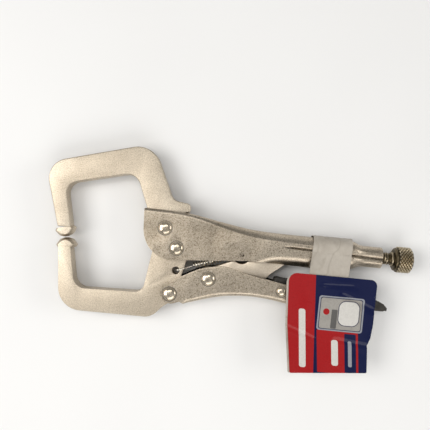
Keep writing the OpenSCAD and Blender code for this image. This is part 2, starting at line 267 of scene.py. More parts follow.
def feed(tree, node, values):  # sets each input, or links it when the value is a socket
    for key, value in values.items():
        socket = node.inputs[key]
        if isinstance(value, bpy.types.NodeSocket):
            tree.links.new(value, socket)
        elif socket.type == "RGBA" and len(value) == 3:
            socket.default_value = (*value, 1)
        else:
            socket.default_value = value


def addNode(tree, kind, values=None, **settings):
    node = tree.nodes.new(kind)
    for key, value in settings.items():
        setattr(node, key, value)
    feed(tree, node, values or {})
    return node


def mathNode(tree, operation, *values):
    return addNode(tree, "ShaderNodeMath", dict(enumerate(values)), operation=operation).outputs[0]


def newMaterial(name):
    material = bpy.data.materials.new(name)
    material.use_nodes = True
    tree = material.node_tree
    tree.nodes.clear()
    shader = addNode(tree, "ShaderNodeBsdfPrincipled")
    addNode(tree, "ShaderNodeOutputMaterial", {0: shader.outputs[0]})
    return material, tree, shader, addNode(tree, "ShaderNodeTexCoord").outputs["Object"]


def noiseNode(tree, coords, scale, detail=3, rough=0.55, stretch=None):
    if stretch:
        coords = addNode(tree, "ShaderNodeMapping", {"Vector": coords, "Scale": stretch}).outputs[0]
    return addNode(tree, "ShaderNodeTexNoise", {
        "Vector": coords, "Scale": scale, "Detail": detail, "Roughness": rough}).outputs["Fac"]


def rampNode(tree, value, stops):
    ramp = addNode(tree, "ShaderNodeValToRGB", {0: value})
    while len(ramp.color_ramp.elements) < len(stops):
        ramp.color_ramp.elements.new(0.5)
    for element, (place, colour) in zip(ramp.color_ramp.elements, stops):
        element.position = place
        element.color = (*colour, 1)
    return ramp.outputs[0]


def rangeNode(tree, value, low, high, fromLow=0.3, fromHigh=0.7):
    return addNode(tree, "ShaderNodeMapRange", {"Value": value, "From Min": fromLow, "From Max": fromHigh,
                                                "To Min": low, "To Max": high}).outputs[0]


def mixColours(tree, amount, a, b, mode="MIX"):
    mix = addNode(tree, "ShaderNodeMix", {0: amount, 6: a, 7: b}, data_type="RGBA", blend_type=mode)
    return mix.outputs[2]


def bumpNode(tree, height, depth, under=None):
    bump = addNode(tree, "ShaderNodeBump", {"Height": height, "Distance": depth * mm, "Strength": 1.0})
    if under:
        feed(tree, bump, {"Normal": under})
    return bump.outputs[0]


# painted shade: dark line through three points along the pressed groove of the upper handle
grooveShadeLine = {"line": [(43, 5.6), (76, 4.7), (99, 3.6)], "fadeIn": (49, 52), "thin": 0.1, "wide": 0.42,
        "blur": (-0.12, 0.1), "darkness": 0.85, "inkAndShade": (0.045, 0.038, 0.03)}
grooveDark = (0.26, 0.24, 0.2)  # how much the painted shade darkens the metal at the bottom of a groove


# mixes the painted groove shade into the metal colour
def paintGrooveShadeLine(tree, coords, colour):
    place = addNode(tree, "ShaderNodeSeparateXYZ", {0: coords})
    x, y = place.outputs[0], place.outputs[1]
    (x0, y0), (x1, y1), (x2, y2) = grooveShadeLine["line"]
    lineY = mathNode(tree, "ADD", rangeNode(tree, x, y0 * mm, y1 * mm, x0 * mm, x1 * mm),
                     rangeNode(tree, x, 0, (y2 - y1) * mm, x1 * mm, x2 * mm))
    away = mathNode(tree, "ABSOLUTE", mathNode(tree, "SUBTRACT", y, lineY))
    ragged = noiseNode(tree, coords, 1500, 2)
    broken = rangeNode(tree, ragged, grooveShadeLine["thin"] * mm, grooveShadeLine["wide"] * mm, 0.38, 0.62)
    blur = [edge * mm for edge in grooveShadeLine["blur"]]
    line = rangeNode(tree, mathNode(tree, "SUBTRACT", away, broken), 1.0, 0.0, *blur)
    shown = rangeNode(tree, x, 0, grooveShadeLine["darkness"], *[end * mm for end in grooveShadeLine["fadeIn"]])
    return mixColours(tree, mathNode(tree, "MULTIPLY", line, shown), colour, grooveShadeLine["inkAndShade"])


def grooveShade(tree, coords, colour, low, high):  # painted shade, darker from radius high to low round the screw axis
    axis = (0, screwY * mm, midZ * mm)
    moved = addNode(tree, "ShaderNodeVectorMath", {0: coords, 1: axis}, operation="SUBTRACT")
    flat = addNode(tree, "ShaderNodeVectorMath", {0: moved.outputs[0], 1: (0, 1, 1)}, operation="MULTIPLY")
    radius = addNode(tree, "ShaderNodeVectorMath", {0: flat.outputs[0]}, operation="LENGTH")
    height = rangeNode(tree, radius.outputs["Value"], 0.0, 1.0, low * mm, high * mm)
    shade = rampNode(tree, height, [(0.0, grooveDark), (1.0, (1, 1, 1))])
    return mixColours(tree, 1.0, colour, shade, "MULTIPLY")


def satinNickel(name, look):  # grain and cloudy tone over a slow swell
    material, tree, shader, coords = newMaterial(name)
    grain = noiseNode(tree, coords, look["grainScale"], 4, 0.7)
    cloud = noiseNode(tree, coords, look["cloudScale"], 4, 0.6)
    swell = noiseNode(tree, coords, look["swellScale"], 2, 0.5)
    tone = rampNode(tree, cloud, [(0.3, look["dark"]), (0.7, look["light"])])
    fleck = rampNode(tree, grain, [(0.3, look["fleck"]), (0.6, (1, 1, 1))])
    colour = mixColours(tree, 1.0, tone, fleck, "MULTIPLY")
    if "grooveShadeLine" in look:
        colour = paintGrooveShadeLine(tree, coords, colour)
    if "valley" in look:
        colour = grooveShade(tree, coords, colour, *look["valley"])
    swollen = bumpNode(tree, swell, look["swellDepth"])
    feed(tree, shader, {"Base Color": colour, "Metallic": 1.0,
                        "Roughness": rangeNode(tree, grain, look["smooth"], look["rough"]),
                        "Normal": bumpNode(tree, grain, look["grainDepth"], swollen)})
    return material


jawFinish = satinNickel("jawFinish", {
    "light": (0.74, 0.66, 0.54), "dark": (0.55, 0.475, 0.375), "fleck": (0.5, 0.46, 0.41),
    "smooth": 0.32, "rough": 0.5, "grainScale": 2000, "grainDepth": 0.12,
    "cloudScale": 45, "swellScale": 60, "swellDepth": 0.45})
sheetLook = {
    "light": (0.68, 0.60, 0.49), "dark": (0.49, 0.42, 0.325), "fleck": (0.42, 0.37, 0.31),
    "smooth": 0.24, "rough": 0.42, "grainScale": 2100, "grainDepth": 0.085,
    "cloudScale": 38, "swellScale": 38, "swellDepth": 1.7}
sheetFinish = satinNickel("sheetFinish", sheetLook)
# the upper handle's metal carries the painted shade line along its groove
handleFinish = satinNickel("handleFinish", {**sheetLook, "grooveShadeLine": True})
linkFinish = satinNickel("linkFinish", {
    "light": (0.92, 0.82, 0.68), "dark": (0.74, 0.64, 0.52), "fleck": (0.8, 0.76, 0.7),
    "smooth": 0.3, "rough": 0.45, "grainScale": 1900, "grainDepth": 0.03,
    "cloudScale": 60, "swellScale": 60, "swellDepth": 0.4})
rivetFinish = satinNickel("rivetFinish", {
    "light": (0.78, 0.69, 0.56), "dark": (0.58, 0.5, 0.38), "fleck": (0.85, 0.82, 0.78),
    "smooth": 0.17, "rough": 0.28, "grainScale": 900, "grainDepth": 0.008,
    "cloudScale": 300, "swellScale": 300, "swellDepth": 0.02})
screwLook = {
    "light": (0.56, 0.48, 0.35), "dark": (0.34, 0.28, 0.19), "fleck": (0.62, 0.58, 0.5),
    "smooth": 0.24, "rough": 0.42, "grainScale": 2200, "grainDepth": 0.015,
    "cloudScale": 220, "swellScale": 300, "swellDepth": 0.02}
# the valley ranges paint shade into the thread roots and between the knurl diamonds
screwFinish = satinNickel("screwFinish", {**screwLook, "valley": (2.55, 2.9)})
knobFinish = satinNickel("knobFinish", {**screwLook, "light": (0.72, 0.63, 0.48), "dark": (0.5, 0.43, 0.31),
                                        "valley": (5.6, 5.9)})
springFinish = satinNickel("springFinish", {
    "light": (1, 0.97, 0.88), "dark": (0.9, 0.84, 0.73), "fleck": (0.9, 0.88, 0.84),
    "smooth": 0.2, "rough": 0.34, "grainScale": 2400, "grainDepth": 0.006,
    "cloudScale": 160, "swellScale": 300, "swellDepth": 0.004})


def darkFinish(name, look):  # paint over steel for the lever, and painted shade for the rivet gaps and the insides of the pressings
    material, tree, shader, coords = newMaterial(name)
    mottle = noiseNode(tree, coords, *look["mottle"])
    grain = noiseNode(tree, coords, *look["grain"]) if "grain" in look else mottle
    feed(tree, shader, {"Base Color": rampNode(tree, mottle, look["stops"]),
                        "Roughness": rangeNode(tree, grain, *look["rough"]), **look["shader"]})
    if "depth" in look:
        feed(tree, shader, {"Normal": bumpNode(tree, grain, look["depth"])})
    return material


leverFinish = darkFinish("leverFinish", {
    "mottle": (140, 4), "stops": [(0.35, (0.02, 0.018, 0.016)), (0.72, (0.085, 0.078, 0.068))],
    "grain": (1700, 3), "rough": (0.35, 0.55), "depth": 0.02, "shader": {"Metallic": 0.5}})
rivetShadeFinish = darkFinish("rivetShadeFinish", {  # painted shade in the gap round a rivet head
    "mottle": (900, 3), "stops": [(0.3, (0.035, 0.03, 0.024)), (0.7, (0.12, 0.105, 0.085))],
    "rough": (0.4, 0.6), "shader": {"Metallic": 0.6}})
insideShadeFinish = darkFinish("insideShadeFinish", {  # painted shade on the inner faces of the pressings, which lie in shadow
    "mottle": (180, 4, 0.6), "stops": [(0.3, (0.006, 0.0055, 0.005)), (0.75, (0.022, 0.02, 0.017))],
    "rough": (0.45, 0.7), "depth": 0.03, "shader": {"Specular IOR Level": 0.2}})
print("metal finishes made")


jaws = {"reach": -53.2, "halfWidth": 3.8, "edge": 0.55, "tipRadius": 5.05, "tipLength": 4.6,
        "tipInset": 0.25, "tipY": 0.2, "gap": 0.5, "upperTilt": 14, "lowerTilt": 5.5}


def clampTip(name, y, tilt, up):  # round foot of a jaw, flat where the two meet
    r, h = jaws["tipRadius"], jaws["tipLength"]
    half = roundOutline([(-2, 0), (r - 0.7, 0), (r + 0.1, 0.25 * h, 0.8), (r - 1.7, 0.82 * h, 1.6),
                         (0.9, h), (-2, h)], 8)
    profile = [(p[0], p[1]) for p in half if p[0] > 0]
    turn = math.radians(tilt)

    def place(a, b, height):
        along = height - h if up else h - height
        return (jaws["reach"] + a * math.cos(turn) - along * math.sin(turn),
                y + a * math.sin(turn) + along * math.cos(turn), midZ + b)
    tip = latheSolid(name, profile, 72, place)
    slab = jaws["halfWidth"] - jaws["tipInset"]
    x = jaws["reach"]
    box = plateSolid("slab", [(x - 20, y - 20), (x + 20, y - 20), (x + 20, y + 20), (x - 20, y + 20)],
                     midZ - slab, midZ + slab)
    cut(tip, box, "INTERSECT")
    soften(tip, 0.28, 2)
    return tip


def upperJaw():
    x = jaws["reach"]
    outline = roundOutline([(x - 4.1, 5.0), (x - 12.7, 34.75, 9.5), (-15.7, 48.3, 11),
                            (-3.9, 22.4, 5), (4.7, 21.3, 2), (4.7, 17.2, 1.2), (3, 17.15), (2.6, 16.6),
                            (2.6, 7.5), (-2, 7.0), (-13.4, 3.6, 2), (-15.9, 18, 8), (-22.3, 33.8, 6.5),
                            (x - 2.2, 25.6, 5.5), (x + 2.1, 5.2)])
    jaw = plateSolid("upperJaw", outline, midZ - jaws["halfWidth"], midZ + jaws["halfWidth"])
    soften(jaw, jaws["edge"], 4)
    joinInto(jaw, [clampTip("tip", jaws["tipY"] + jaws["gap"] / 2, jaws["upperTilt"], False)])
    finishPiece(jaw, jawFinish, "frame_body", ["upper_jaw"], 30)


def lowerJaw():
    x = jaws["reach"]
    outline = roundOutline([(x - 2.9, -3.8), (x - 0.1, -33.8, 11), (-9.1, -33.8, 8), (-4.5, -28.5, 6),
                            (4.2, -22, 4), (3.3, -13.4, 6), (5.6, -3, 2), (4.6, 3.6, 4), (-3.6, 5.2, 4.5),
                            (-11.2, -1.2, 2.5), (-14.4, -22.4, 4.5), (x + 6.4, -23.3, 6), (x + 2.8, -4.0)])
    jaw = plateSolid("lowerJaw", outline, midZ - jaws["halfWidth"], midZ + jaws["halfWidth"])
    cut(jaw, rod("eyeHole", 0.5, -10.6, 1.8), "DIFFERENCE")
    soften(jaw, jaws["edge"], 4)
    joinInto(jaw, [clampTip("tip", jaws["tipY"] - jaws["gap"] / 2, jaws["lowerTilt"], True)])
    finishPiece(jaw, jawFinish, "lower_jaw_body", ["lower_jaw"], 30)


upperJaw()
lowerJaw()
print("jaws made")


def sheetSkin(name, columns, missing):  # columns of points over one half, mirrored over the mid-plane
    rows = len(columns[0])
    grid = [face for face in gridFaces(len(columns), rows) if not missing(face[0] // rows, face[0] % rows)]
    verts, faces = [], []
    for side in (1, -1):
        faces += [[len(verts) + corner for corner in face] for face in grid]
        for column in columns:
            verts += [(p[0], p[1], midZ + side * p[2]) for p in column]
    skinned = meshObject(name, verts, faces)
    bm = bmesh.new()
    bm.from_mesh(skinned.data)
    loose = [v for v in bm.verts if not v.link_faces]
    bmesh.ops.delete(bm, geom=loose, context="VERTS")
    bmesh.ops.recalc_face_normals(bm, faces=bm.faces)
    top = max(bm.faces, key=lambda f: f.calc_center_median().z)
    if top.normal.z < 0:  # the outer side faces away from the mid-plane
        bmesh.ops.reverse_faces(bm, faces=bm.faces)
    bm.to_mesh(skinned.data)
    bm.free()
    return skinned


upper = {"slotEnd": 3.2, "spine": [15, 29.2, 44, 60, 75], "rimWidth": 0.34, "facet": 0.55, "barrel": 1.0,
         "groove": 0.7, "grooveWidth": 0.45, "valley": 0.75, "valleyWidth": 1.3, "stationGap": 0.9,
         "rows": 60}


def upperHandle():
    shoulder, nose = 5.2, 5.0
    outline = roundOutline([(-16.7, 19.7), (-15.5, -6.9, 14), (35, -2.7), (64, -3.6), (100, -4.6),
                            (100, 30), (-16.7, 30)], 4)
    topTable = [(-20, 17.9), (3, 17), (22, 13.8), (34, 12), (46, 11.3), (60, 11.1), (84, 10.6),
                (87, screwY + shoulder), (90, screwY + nose), (99, screwY + nose)]
    bottomTable = [(-4, -6.1), (35, -2.6), (60, -2.7), (70, -3.1), (83, -2.6), (87, screwY - shoulder),
                   (90, screwY - nose), (99, screwY - nose)]
    halfTable = [(-20, outerHalf), (70, outerHalf), (82, outerHalf), (87, shoulder + 0.05), (90, nose),
                 (99, nose)]
    spineTable = [(-20, 1.7), (2, 1.8), (17, 2.3), (36, 3.4), (60, 3.9), (82, 4.0), (90, 4.7), (99, 4.7)]
    curlTable = [(-20, 4.4), (60, 4.4), (70, 5.2), (99, 5.2)]
    turnTable = [(-20, 0), (35, 0), (46, 48), (58, 64), (63, 66), (70, 90), (99, 90)]
    lineTable = [(40, 5.8), (60, 5.1), (76, 4.7), (86, 4.1), (99, 3.7)]

    def dent(x, y):
        lineY = smoothCurve(lineTable, x)
        line = upper["groove"] * ease(x, 49, 55) * math.exp(-((y - lineY) / upper["grooveWidth"]) ** 2)
        valley = upper["valley"] * ease(x, 80, 89) * math.exp(-((y - lineY) / upper["valleyWidth"]) ** 2)
        below = max(0, lineY - 0.8 - y) / 9
        barrel = upper["barrel"] * ease(x, 36, 58) * (1 - ease(x, 80, 88)) * below * below
        return line * (1 - 0.5 * ease(x, 84, 90)) + valley, barrel

    def column(x):
        half = smoothCurve(halfTable, x)
        spine = min(half - 0.3, smoothCurve(spineTable, x))
        curl = min(half - 0.35, smoothCurve(curlTable, x))
        angle = math.radians(smoothCurve(turnTable, x))
        top = smoothCurve(topTable, x)
        near = max(0, 1.2 - (x + 16.7))
        top -= 1.2 - math.sqrt(max(0, 1.44 - near * near))
        edge = spanAt(outline, x)[0]
        bottom = smoothCurve(bottomTable, x)
        flat = [(top, 0), (top, 0.5 * (half - spine)), (top, half - spine)]
        facet = upper["facet"] * ease(x, 4, 26) * (1 - ease(x, 78, 88))
        arc = []
        for t in upper["spine"]:
            c, s = math.cos(math.radians(t)), math.sin(math.radians(t))
            chord = t / 90
            arc.append((top - spine + spine * (c + (1 - chord - c) * facet),
                        half - spine + spine * (s + (chord - s) * facet)))
        path = [(top - spine, half)]
        if x < 35:
            path.append((edge, half))
        else:
            lip = half - curl - 0.2 if x > 68 else (bottom - edge) / max(math.cos(angle), 0.3)
            lipEnd = max(0.1, lip)
            start = bottom + curl * math.sin(angle)
            for k in range(13):
                t = angle * k / 12
                path.append((start - curl * math.sin(t), half - curl + curl * math.cos(t)))
            last = path[-1]
            path.append((last[0] - lipEnd * math.cos(angle), max(0.15, last[1] - lipEnd * math.sin(angle))))
        points = flat + arc + evenPoints(path, upper["rows"])
        lean = max(0, 1 - (x + 16.5) / 6)
        pressed = []
        for y, z in points:
            line, barrel = dent(x, y)
            pressed.append((x - lean * 0.05 * max(0, y - 5), y, z - (line + barrel) * ease(z, 1.5, 4.6)))
        return pressed

    front = sorted(p[0] for p in roundCorner((-16.7, 19.7), (-15.5, -6.9, 14), (35, -2.7), 5))
    slotEnd = upper["slotEnd"]
    xs = front + spaced(front[-1], slotEnd, 6)
    xs += spaced(slotEnd, noseEnd, round((noseEnd - slotEnd) / upper["stationGap"]))
    slotRow = 3 + upper["spine"].index(29.2)
    columns = [column(x) for x in xs]
    handle = sheetSkin("upperHandle", columns,
                       lambda i, j: xs[i + 1] <= slotEnd + 0.01 and j < slotRow)
    thicken(handle, sheet)
    soften(handle, upper["rimWidth"], 3, 55)
    finishPiece(handle, handleFinish, "frame_body", ["upper_handle"], 40, insideShadeFinish)


lower = {"webStart": 6.3, "end": 92.0, "corner": 2.3, "rimWidth": 0.5, "stationGap": 1.1, "rows": 18}


def lowerHandle():
    end = lower["end"]
    bottomTable = [(-10, -27.4), (5.8, -25.6), (13, -23.5), (20, -21.5), (27, -20.2), (37, -19.6),
                   (46, -20.2), (54, -21.4), (70, -23.9), (end, -27.6)]
    topTable = [(7, -11), (12, -8.6), (17, -7.3), (22, -6.6), (27, -7.1), (32, -8.5), (38, -9.9),
                (45, -10.9), (53, -12.4), (70, -15.2), (end, -19.4)]
    rim = roundOutline([(end - 4, -40), (5.4, -40), (5.4, -25.7), (3.6, -24.9, 1), (-5.9, -28.4, 5.2),
                        (-5.9, -18.3, 3.6), (7, -11)], 5)
    rim += [(x, smoothCurve(topTable, x)) for x in range(8, int(end) - 4)]
    lastTop = (end - 4, smoothCurve(topTable, end - 4))
    rim += roundCorner(lastTop, (end + 0.3, -19.7, 3.5), (end, -40), 6) + [(end, -40)]
    turned = lower["corner"]

    def column(x):
        low, high = spanAt(rim, x)
        bottom = max(low, smoothCurve(bottomTable, x))
        shaped = ease(x, 5.2, 7.4)
        points = [(high + (bottom + turned * shaped - high) * i / lower["rows"], outerHalf)
                  for i in range(lower["rows"])]
        for k in range(9):
            t = math.radians(90 * k / 8)
            curved = (bottom + turned - turned * math.sin(t), outerHalf - turned + turned * math.cos(t))
            straight = (bottom + 0.12 * (8 - k) / 8, outerHalf)
            points.append(tuple(a + (b - a) * shaped for a, b in zip(straight, curved)))
        if shaped < 1:
            points = evenPoints(points, lower["rows"] + 9)
        points += [(bottom, (outerHalf - turned) * (1 - i / 3)) for i in range(1, 4)]
        return [(x, p[0], p[1]) for p in points]

    arcs = [p[0] for p in roundCorner((3.6, -24.9), (-5.9, -28.4, 5.2), (-5.9, -18.3), 9)]
    xs = sorted(set(round(max(x, -5.88), 3) for x in arcs))
    webStart = lower["webStart"]
    xs += spaced(xs[-1], webStart, 6)
    xs += spaced(webStart, end - 4, round((end - 4 - webStart) / lower["stationGap"]))
    xs += [end - 4 + 4 * math.sin(math.radians(90 * i / 6)) for i in range(1, 7)]
    columns = [column(min(x, end - 0.01)) for x in xs]
    lastSide = lower["rows"] + 8
    handle = sheetSkin("lowerHandle", columns,
                       lambda i, j: xs[i + 1] <= webStart + 0.01 and j >= lastSide)
    thicken(handle, sheet)
    soften(handle, lower["rimWidth"], 3, 55)
    finishPiece(handle, sheetFinish, "lower_handle_body", ["lower_handle"], 40, insideShadeFinish)


upperHandle()
lowerHandle()
print("handles made")


linkPlate = cadCopy("toggleLink", "toggle_link")
soften(linkPlate, 0.4, 3, 50)
finishPiece(linkPlate, linkFinish, "link_body", ["toggle_link"])
leverPressing = cadCopy("releaseLever", "release_lever")
soften(leverPressing, 0.3, 2, 50)
finishPiece(leverPressing, leverFinish, "lever_body", ["release_lever"])
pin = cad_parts["spring_anchor_pin"]
pin.data.materials.clear()
pin.data.materials.append(rivetFinish)
print("linkage made")


def newTree(name, inputs):
    tree = bpy.data.node_groups.new(name, "GeometryNodeTree")
    tree.interface.new_socket(name="Geometry", in_out="INPUT", socket_type="NodeSocketGeometry")
    sockets = {}
    for title, kind, value in inputs:
        socket = tree.interface.new_socket(name=title, in_out="INPUT", socket_type="NodeSocket" + kind)
        if kind != "Material":
            socket.default_value = value
        sockets[title] = socket.identifier
    tree.interface.new_socket(name="Geometry", in_out="OUTPUT", socket_type="NodeSocketGeometry")
    start = tree.nodes.new("NodeGroupInput")
    end = tree.nodes.new("NodeGroupOutput")
    return tree, sockets, start.outputs, end


def closeTree(tree, sockets, start, end, last):
    realized = addNode(tree, "GeometryNodeRealizeInstances", {0: last.outputs[0]})
    painted = addNode(tree, "GeometryNodeSetMaterial", {
        "Geometry": realized.outputs[0], "Material": start["Material"]})
    tree.links.new(painted.outputs[0], end.inputs[0])
    return tree, sockets


def runTree(name, made, values, data=None):
    tree, sockets = made
    thing = placeObject(name, data or bpy.data.meshes.new(name))
    change = thing.modifiers.new(tree.name, "NODES")
    change.node_group = tree
    for title, value in values.items():
        change[sockets[title]] = value
    settle(thing)
    return thing


def sweptTube(tree, path, profile):
    return addNode(tree, "GeometryNodeCurveToMesh", {
        "Curve": path.outputs[0], "Profile Curve": profile.outputs[0], "Fill Caps": True})


def wireTree():  # round wire along the edges of a path
    tree, sockets, start, end = newTree("wireTree", [
        ("Wire radius", "Float", 0.3 * mm), ("Sides", "Int", 10), ("Material", "Material", None)])
    path = addNode(tree, "GeometryNodeMeshToCurve", {"Mesh": start["Geometry"]})
    ring = addNode(tree, "GeometryNodeCurvePrimitiveCircle", {
        "Resolution": start["Sides"], "Radius": start["Wire radius"]})
    tube = sweptTube(tree, path, ring)
    return closeTree(tree, sockets, start, end, tube)


def rivetTree():  # domed head, shank and flat back at every point
    tree, sockets, start, end = newTree("rivetTree", [
        ("Head radius", "Float", 3.4 * mm), ("Rim height", "Float", 0.3 * mm),
        ("Crown height", "Float", 0.95 * mm), ("Length", "Float", 14.3 * mm),
        ("Shank radius", "Float", 2.5 * mm), ("Material", "Material", None)])
    head, rimHeight, crownHeight = start["Head radius"], start["Rim height"], start["Crown height"]

    def lifted(piece, height, **more):
        offset = addNode(tree, "ShaderNodeCombineXYZ", {2: height})
        return addNode(tree, "GeometryNodeTransform", {
            "Geometry": piece.outputs[0], "Translation": offset.outputs[0], **more})

    def half(value):
        return mathNode(tree, "MULTIPLY", value, 0.5)

    rimTop = mathNode(tree, "SUBTRACT", start["Length"], crownHeight)
    ball = addNode(tree, "GeometryNodeMeshUVSphere", {"Segments": 56, "Rings": 36, "Radius": 1.0})
    domeRadius = mathNode(tree, "MULTIPLY", head, 0.87)
    size = addNode(tree, "ShaderNodeCombineXYZ", {0: domeRadius, 1: domeRadius, 2: crownHeight})
    rim = addNode(tree, "GeometryNodeMeshCylinder", {"Vertices": 56, "Radius": head, "Depth": rimHeight})
    shank = addNode(tree, "GeometryNodeMeshCylinder", {
        "Vertices": 40, "Radius": start["Shank radius"], "Depth": rimTop})
    foot = addNode(tree, "GeometryNodeMeshCone", {
        "Vertices": 56, "Radius Bottom": head, "Radius Top": head, "Depth": 1.15 * mm})
    parts = addNode(tree, "GeometryNodeJoinGeometry")
    for piece in (lifted(ball, rimTop, Scale=size.outputs[0]),
                  lifted(rim, mathNode(tree, "SUBTRACT", rimTop, half(rimHeight))),
                  lifted(shank, half(rimTop)), foot):
        tree.links.new(piece.outputs[0], parts.inputs[0])
    spread = addNode(tree, "GeometryNodeInstanceOnPoints", {
        "Points": start["Geometry"], "Instance": parts.outputs[0]})
    return closeTree(tree, sockets, start, end, spread)


def threadTree():  # ridge of a thread, wound round Z from the origin
    tree, sockets, start, end = newTree("threadTree", [
        ("Core radius", "Float", 2.55 * mm), ("Pitch", "Float", 1 * mm), ("Turns", "Float", 38.0),
        ("Ridge", "Float", 0.4 * mm), ("Material", "Material", None)])
    height = mathNode(tree, "MULTIPLY", start["Pitch"], start["Turns"])
    core = start["Core radius"]
    coil = addNode(tree, "GeometryNodeCurveSpiral", {
        "Resolution": 40, "Rotations": start["Turns"], "Start Radius": core, "End Radius": core,
        "Height": height})
    ridge = addNode(tree, "GeometryNodeCurvePrimitiveCircle", {"Resolution": 4, "Radius": start["Ridge"]})
    tube = sweptTube(tree, coil, ridge)
    return closeTree(tree, sockets, start, end, tube)


def knurlTree():  # diamonds round a cylinder that lies along X
    tree, sockets, start, end = newTree("knurlTree", [
        ("Radius", "Float", 5.8 * mm), ("Length", "Float", 6.6 * mm), ("Around", "Int", 30),
        ("Along", "Int", 11), ("Height", "Float", 0.5 * mm), ("Material", "Material", None)])

    def calc(operation, *values):
        return mathNode(tree, operation, *values)

    step = calc("DIVIDE", 2 * math.pi, start["Around"])
    flatSheet = addNode(tree, "GeometryNodeMeshGrid", {
        "Size X": start["Length"], "Size Y": calc("SUBTRACT", 2 * math.pi, step),
        "Vertices X": start["Along"], "Vertices Y": start["Around"]})
    place = addNode(tree, "ShaderNodeSeparateXYZ", {0: addNode(tree, "GeometryNodeInputPosition").outputs[0]})
    gap = calc("DIVIDE", start["Length"], calc("SUBTRACT", start["Along"], 1.0))
    odd = calc("FLOORED_MODULO", calc("ROUND", calc("DIVIDE", place.outputs[0], gap)), 2.0)
    angle = calc("ADD", place.outputs[1], calc("MULTIPLY", odd, calc("MULTIPLY", step, 0.5)))
    y = calc("MULTIPLY", calc("COSINE", angle), start["Radius"])
    z = calc("MULTIPLY", calc("SINE", angle), start["Radius"])
    spot = addNode(tree, "ShaderNodeCombineXYZ", {0: place.outputs[0], 1: y, 2: z})
    lean = addNode(tree, "ShaderNodeCombineXYZ", {0: calc("SUBTRACT", angle, math.pi / 2)})
    kept = addNode(tree, "GeometryNodeStoreNamedAttribute", {
        "Geometry": flatSheet.outputs[0], "Name": "lean", "Value": lean.outputs[0]},
        data_type="FLOAT_VECTOR", domain="POINT")
    rolled = addNode(tree, "GeometryNodeSetPosition", {
        "Geometry": kept.outputs[0], "Position": spot.outputs[0]})
    stored = addNode(tree, "GeometryNodeInputNamedAttribute", {"Name": "lean"}, data_type="FLOAT_VECTOR")
    stud = addNode(tree, "GeometryNodeMeshCone", {
        "Vertices": 4, "Radius Top": 0.42, "Radius Bottom": 1.0, "Depth": 1.0})
    width = calc("MULTIPLY", calc("MULTIPLY", step, start["Radius"]), 0.5)
    scale = addNode(tree, "ShaderNodeCombineXYZ", {0: gap, 1: width, 2: start["Height"]})
    spread = addNode(tree, "GeometryNodeInstanceOnPoints", {
        "Points": rolled.outputs[0], "Instance": stud.outputs[0], "Rotation": stored.outputs[0],
        "Scale": scale.outputs[0]})
    return closeTree(tree, sockets, start, end, spread)


rivets = {"headRadius": 3.4, "smallHead": 2.5, "shank": 2.5, "smallShank": 1.75, "top": 14.3, "crown": 1.0,
          "rim": 0.3, "shadeRingWidth": 0.11, "shadeRingHeight": 13.08}


def rivetShadeRing(x, y, radius):  # thin ring of painted shade in the gap round a head
    steps, sides = 56, 12
    tube = rivets["shadeRingWidth"]
    verts, faces = [], []
    for k in range(steps):
        t = 2 * math.pi * k / steps
        for j in range(sides):
            a = 2 * math.pi * j / sides
            r = radius - 0.02 + 2 * tube * math.cos(a)
            height = rivets["shadeRingHeight"] + tube * math.sin(a)
            verts.append((x + r * math.cos(t), y + r * math.sin(t), height))
            here, over = k * sides, (k + 1) % steps * sides
            faces.append([here + j, over + j, over + (j + 1) % sides, here + (j + 1) % sides])
    return meshObject("ring", verts, faces)


def placeRivets():
    domedRivet = rivetTree()
    big, small = (rivets["headRadius"], rivets["shank"]), (rivets["smallHead"], rivets["smallShank"])
    groups = [
        ("jawRivets", "frame_body", [(-6.2, 9), (0, 0)], big, ["upper_jaw_rivet", "jaw_pivot_rivet"]),
        ("handleRivets", "lower_handle_body", [(-1.3, -21.7), (16.2, -13)], big,
         ["handle_pivot_rivet", "link_pivot_rivet"]),
        ("leverRivet", "lower_handle_body", [(51, -15.6)], small, ["release_lever_rivet"])]
    for name, body, spots, (radius, shank), nodes in groups:
        data = bpy.data.meshes.new(name)
        data.from_pydata([Vector((x, y, 0)) * mm for x, y in spots], [], [])
        group = runTree(name, domedRivet, {
            "Head radius": radius * mm, "Rim height": rivets["rim"] * mm,
            "Crown height": rivets["crown"] * mm, "Length": rivets["top"] * mm,
            "Shank radius": shank * mm, "Material": rivetFinish}, data)
        for v in group.data.vertices:  # flat backs at height zero
            v.co.z = max(v.co.z, 0)
        finishPiece(group, rivetFinish, body, nodes, 35)
        rings = [rivetShadeRing(x, y, radius) for x, y in spots]
        joinInto(rings[0], rings[1:])
        rings[0].name = name + "ShadeRing"
        finishPiece(rings[0], rivetShadeFinish, body, [], 60)


placeRivets()
print("rivets made")


spring = {"wire": 0.3, "outer": 1.62, "turns": 15, "anchor": (30.9, -0.2), "eye": (0.5, -10.6)}


